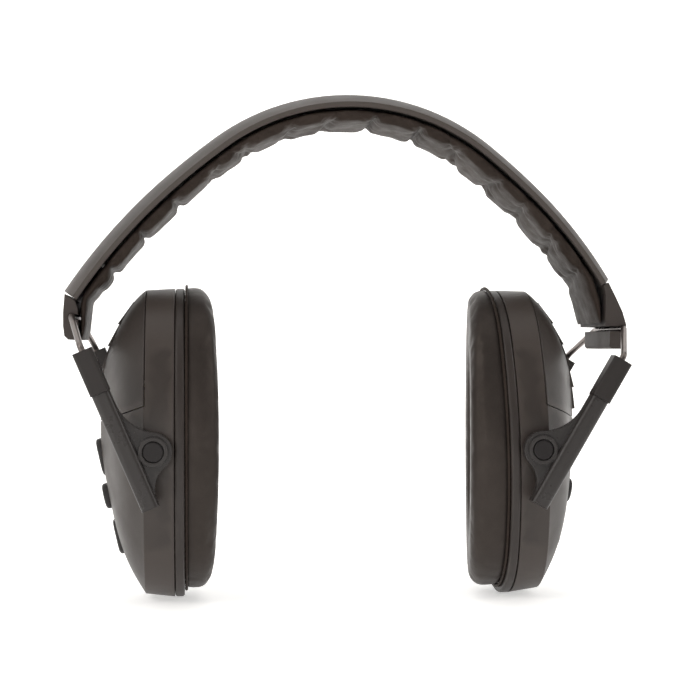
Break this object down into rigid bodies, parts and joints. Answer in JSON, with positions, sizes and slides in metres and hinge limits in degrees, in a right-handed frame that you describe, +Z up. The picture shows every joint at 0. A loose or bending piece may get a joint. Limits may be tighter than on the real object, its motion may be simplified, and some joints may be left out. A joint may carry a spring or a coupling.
{
  "type": "earmuff hearing protector",
  "caption": "Folding earmuff: padded spring headband, sliding wire-frame yokes, tilting ear cups with louvred covers, keys and soft ear cushions.",
  "frame": {"origin": "middle of the foot of the box round the whole earmuff, both cups standing on their lower ends", "axes": "+X from the left cup to the right cup, +Y from front to back, +Z up to the crown of the headband"},
  "size_m": [0.1994, 0.0886, 0.1803],
  "materials": {
    "strip_plastic": "fine satin grain",
    "spring_steel": "satin",
    "pad_leather": "gathered soft artificial leather",
    "hinge_plastic": "satin",
    "wire_steel": "blackened wire",
    "arm_plastic": "satin",
    "collar_plastic": "satin",
    "pin_steel": "black coated",
    "shell_plastic": "soft touch",
    "cover_plastic": "soft touch",
    "ring_plastic": "satin",
    "cushion_leather": "smooth artificial leather",
    "liner_foam": "open foam",
    "inner_plastic": "moulded",
    "speaker_metal": "satin",
    "battery_metal": "gloss",
    "board_laminate": "solder mask",
    "switch_plastic": "moulded",
    "key_rubber": "satin",
    "screw_steel": "zinc"
  },
  "bodies": {
    "headband": {"headband_strip": "strip_plastic", "spring_band": "spring_steel", "headband_pad": "pad_leather", "end_block_left": "hinge_plastic", "end_block_right": "hinge_plastic"},
    "frame_left": {"wire_frame_left": "wire_steel"},
    "yoke_left": {"arm_front_left": "arm_plastic", "arm_rear_left": "arm_plastic", "collar_front_left": "collar_plastic", "collar_rear_left": "collar_plastic"},
    "cup_left": {"pivot_pins_left": "pin_steel", "cup_shell_left": "shell_plastic", "cushion_ring_left": "ring_plastic", "ear_cushion_left": "cushion_leather", "foam_liner_left": "liner_foam", "speaker_bracket_left": "inner_plastic", "speaker_left": "speaker_metal", "battery_tray_left": "inner_plastic", "batteries_left": "battery_metal", "circuit_board_left": "board_laminate", "tact_switches_left": "switch_plastic", "microphone_left": "speaker_metal", "screw_posts_left": "inner_plastic", "shell_screws_left": "screw_steel"},
    "cover_left": {"battery_cover_left": "cover_plastic"},
    "button_up_left": {"button_up_left": "key_rubber"},
    "button_power_left": {"button_power_left": "key_rubber"},
    "button_down_left": {"button_down_left": "key_rubber"},
    "frame_right": {"wire_frame_right": "wire_steel"},
    "yoke_right": {"arm_front_right": "arm_plastic", "arm_rear_right": "arm_plastic", "collar_front_right": "collar_plastic", "collar_rear_right": "collar_plastic"},
    "cup_right": {"pivot_pins_right": "pin_steel", "cup_shell_right": "shell_plastic", "cushion_ring_right": "ring_plastic", "ear_cushion_right": "cushion_leather", "foam_liner_right": "liner_foam", "speaker_bracket_right": "inner_plastic", "speaker_right": "speaker_metal", "battery_tray_right": "inner_plastic", "batteries_right": "battery_metal", "circuit_board_right": "board_laminate", "tact_switches_right": "switch_plastic", "microphone_right": "speaker_metal", "screw_posts_right": "inner_plastic", "shell_screws_right": "screw_steel"},
    "cover_right": {"battery_cover_right": "cover_plastic"},
    "button_up_right": {"button_up_right": "key_rubber"},
    "button_power_right": {"button_power_right": "key_rubber"},
    "button_down_right": {"button_down_right": "key_rubber"}
  },
  "joints": [
    {"name": "fold_left", "type": "hinge", "parent": "headband", "child": "frame_left", "pos_m": [-0.09585, 0, 0.09977], "axis": [0, -1, 0], "range_deg": [-8, 20]},
    {"name": "extend_left", "type": "slide", "parent": "frame_left", "child": "yoke_left", "axis": [0.3955, 0, -0.9184], "range_m": [0, 0.025]},
    {"name": "tilt_left", "type": "hinge", "parent": "yoke_left", "child": "cup_left", "pos_m": [-0.06745, 0, 0.0543], "axis": [0, 1, 0], "range_deg": [-14, 15]},
    {"name": "open_cover_left", "type": "slide", "parent": "cup_left", "child": "cover_left", "axis": [0, 0, 1], "range_m": [0, 0.008]},
    {"name": "press_up_left", "type": "slide", "parent": "cup_left", "child": "button_up_left", "axis": [0.9744, 0, 0.225], "range_m": [0, 0.0008], "stiffness_N_per_m": 800},
    {"name": "press_power_left", "type": "slide", "parent": "cup_left", "child": "button_power_left", "axis": [0.9744, 0, 0.225], "range_m": [0, 0.0008], "stiffness_N_per_m": 800},
    {"name": "press_down_left", "type": "slide", "parent": "cup_left", "child": "button_down_left", "axis": [0.9744, 0, 0.225], "range_m": [0, 0.0008], "stiffness_N_per_m": 800},
    {"name": "fold_right", "type": "hinge", "parent": "headband", "child": "frame_right", "pos_m": [0.09835, 0, 0.09591], "axis": [0, -1, 0], "range_deg": [-20, 8]},
    {"name": "extend_right", "type": "slide", "parent": "frame_right", "child": "yoke_right", "axis": [-0.506, 0, -0.8625], "range_m": [0, 0.025]},
    {"name": "tilt_right", "type": "hinge", "parent": "yoke_right", "child": "cup_right", "pos_m": [0.06455, 0, 0.0543], "axis": [0, 1, 0], "range_deg": [-15, 14]},
    {"name": "open_cover_right", "type": "slide", "parent": "cup_right", "child": "cover_right", "axis": [-0.0349, 0, 0.9994], "range_m": [0, 0.008]},
    {"name": "press_up_right", "type": "slide", "parent": "cup_right", "child": "button_up_right", "axis": [-0.9816, 0, 0.1908], "range_m": [0, 0.0008], "stiffness_N_per_m": 800},
    {"name": "press_power_right", "type": "slide", "parent": "cup_right", "child": "button_power_right", "axis": [-0.9816, 0, 0.1908], "range_m": [0, 0.0008], "stiffness_N_per_m": 800},
    {"name": "press_down_right", "type": "slide", "parent": "cup_right", "child": "button_down_right", "axis": [-0.9816, 0, 0.1908], "range_m": [0, 0.0008], "stiffness_N_per_m": 800}
  ]
}
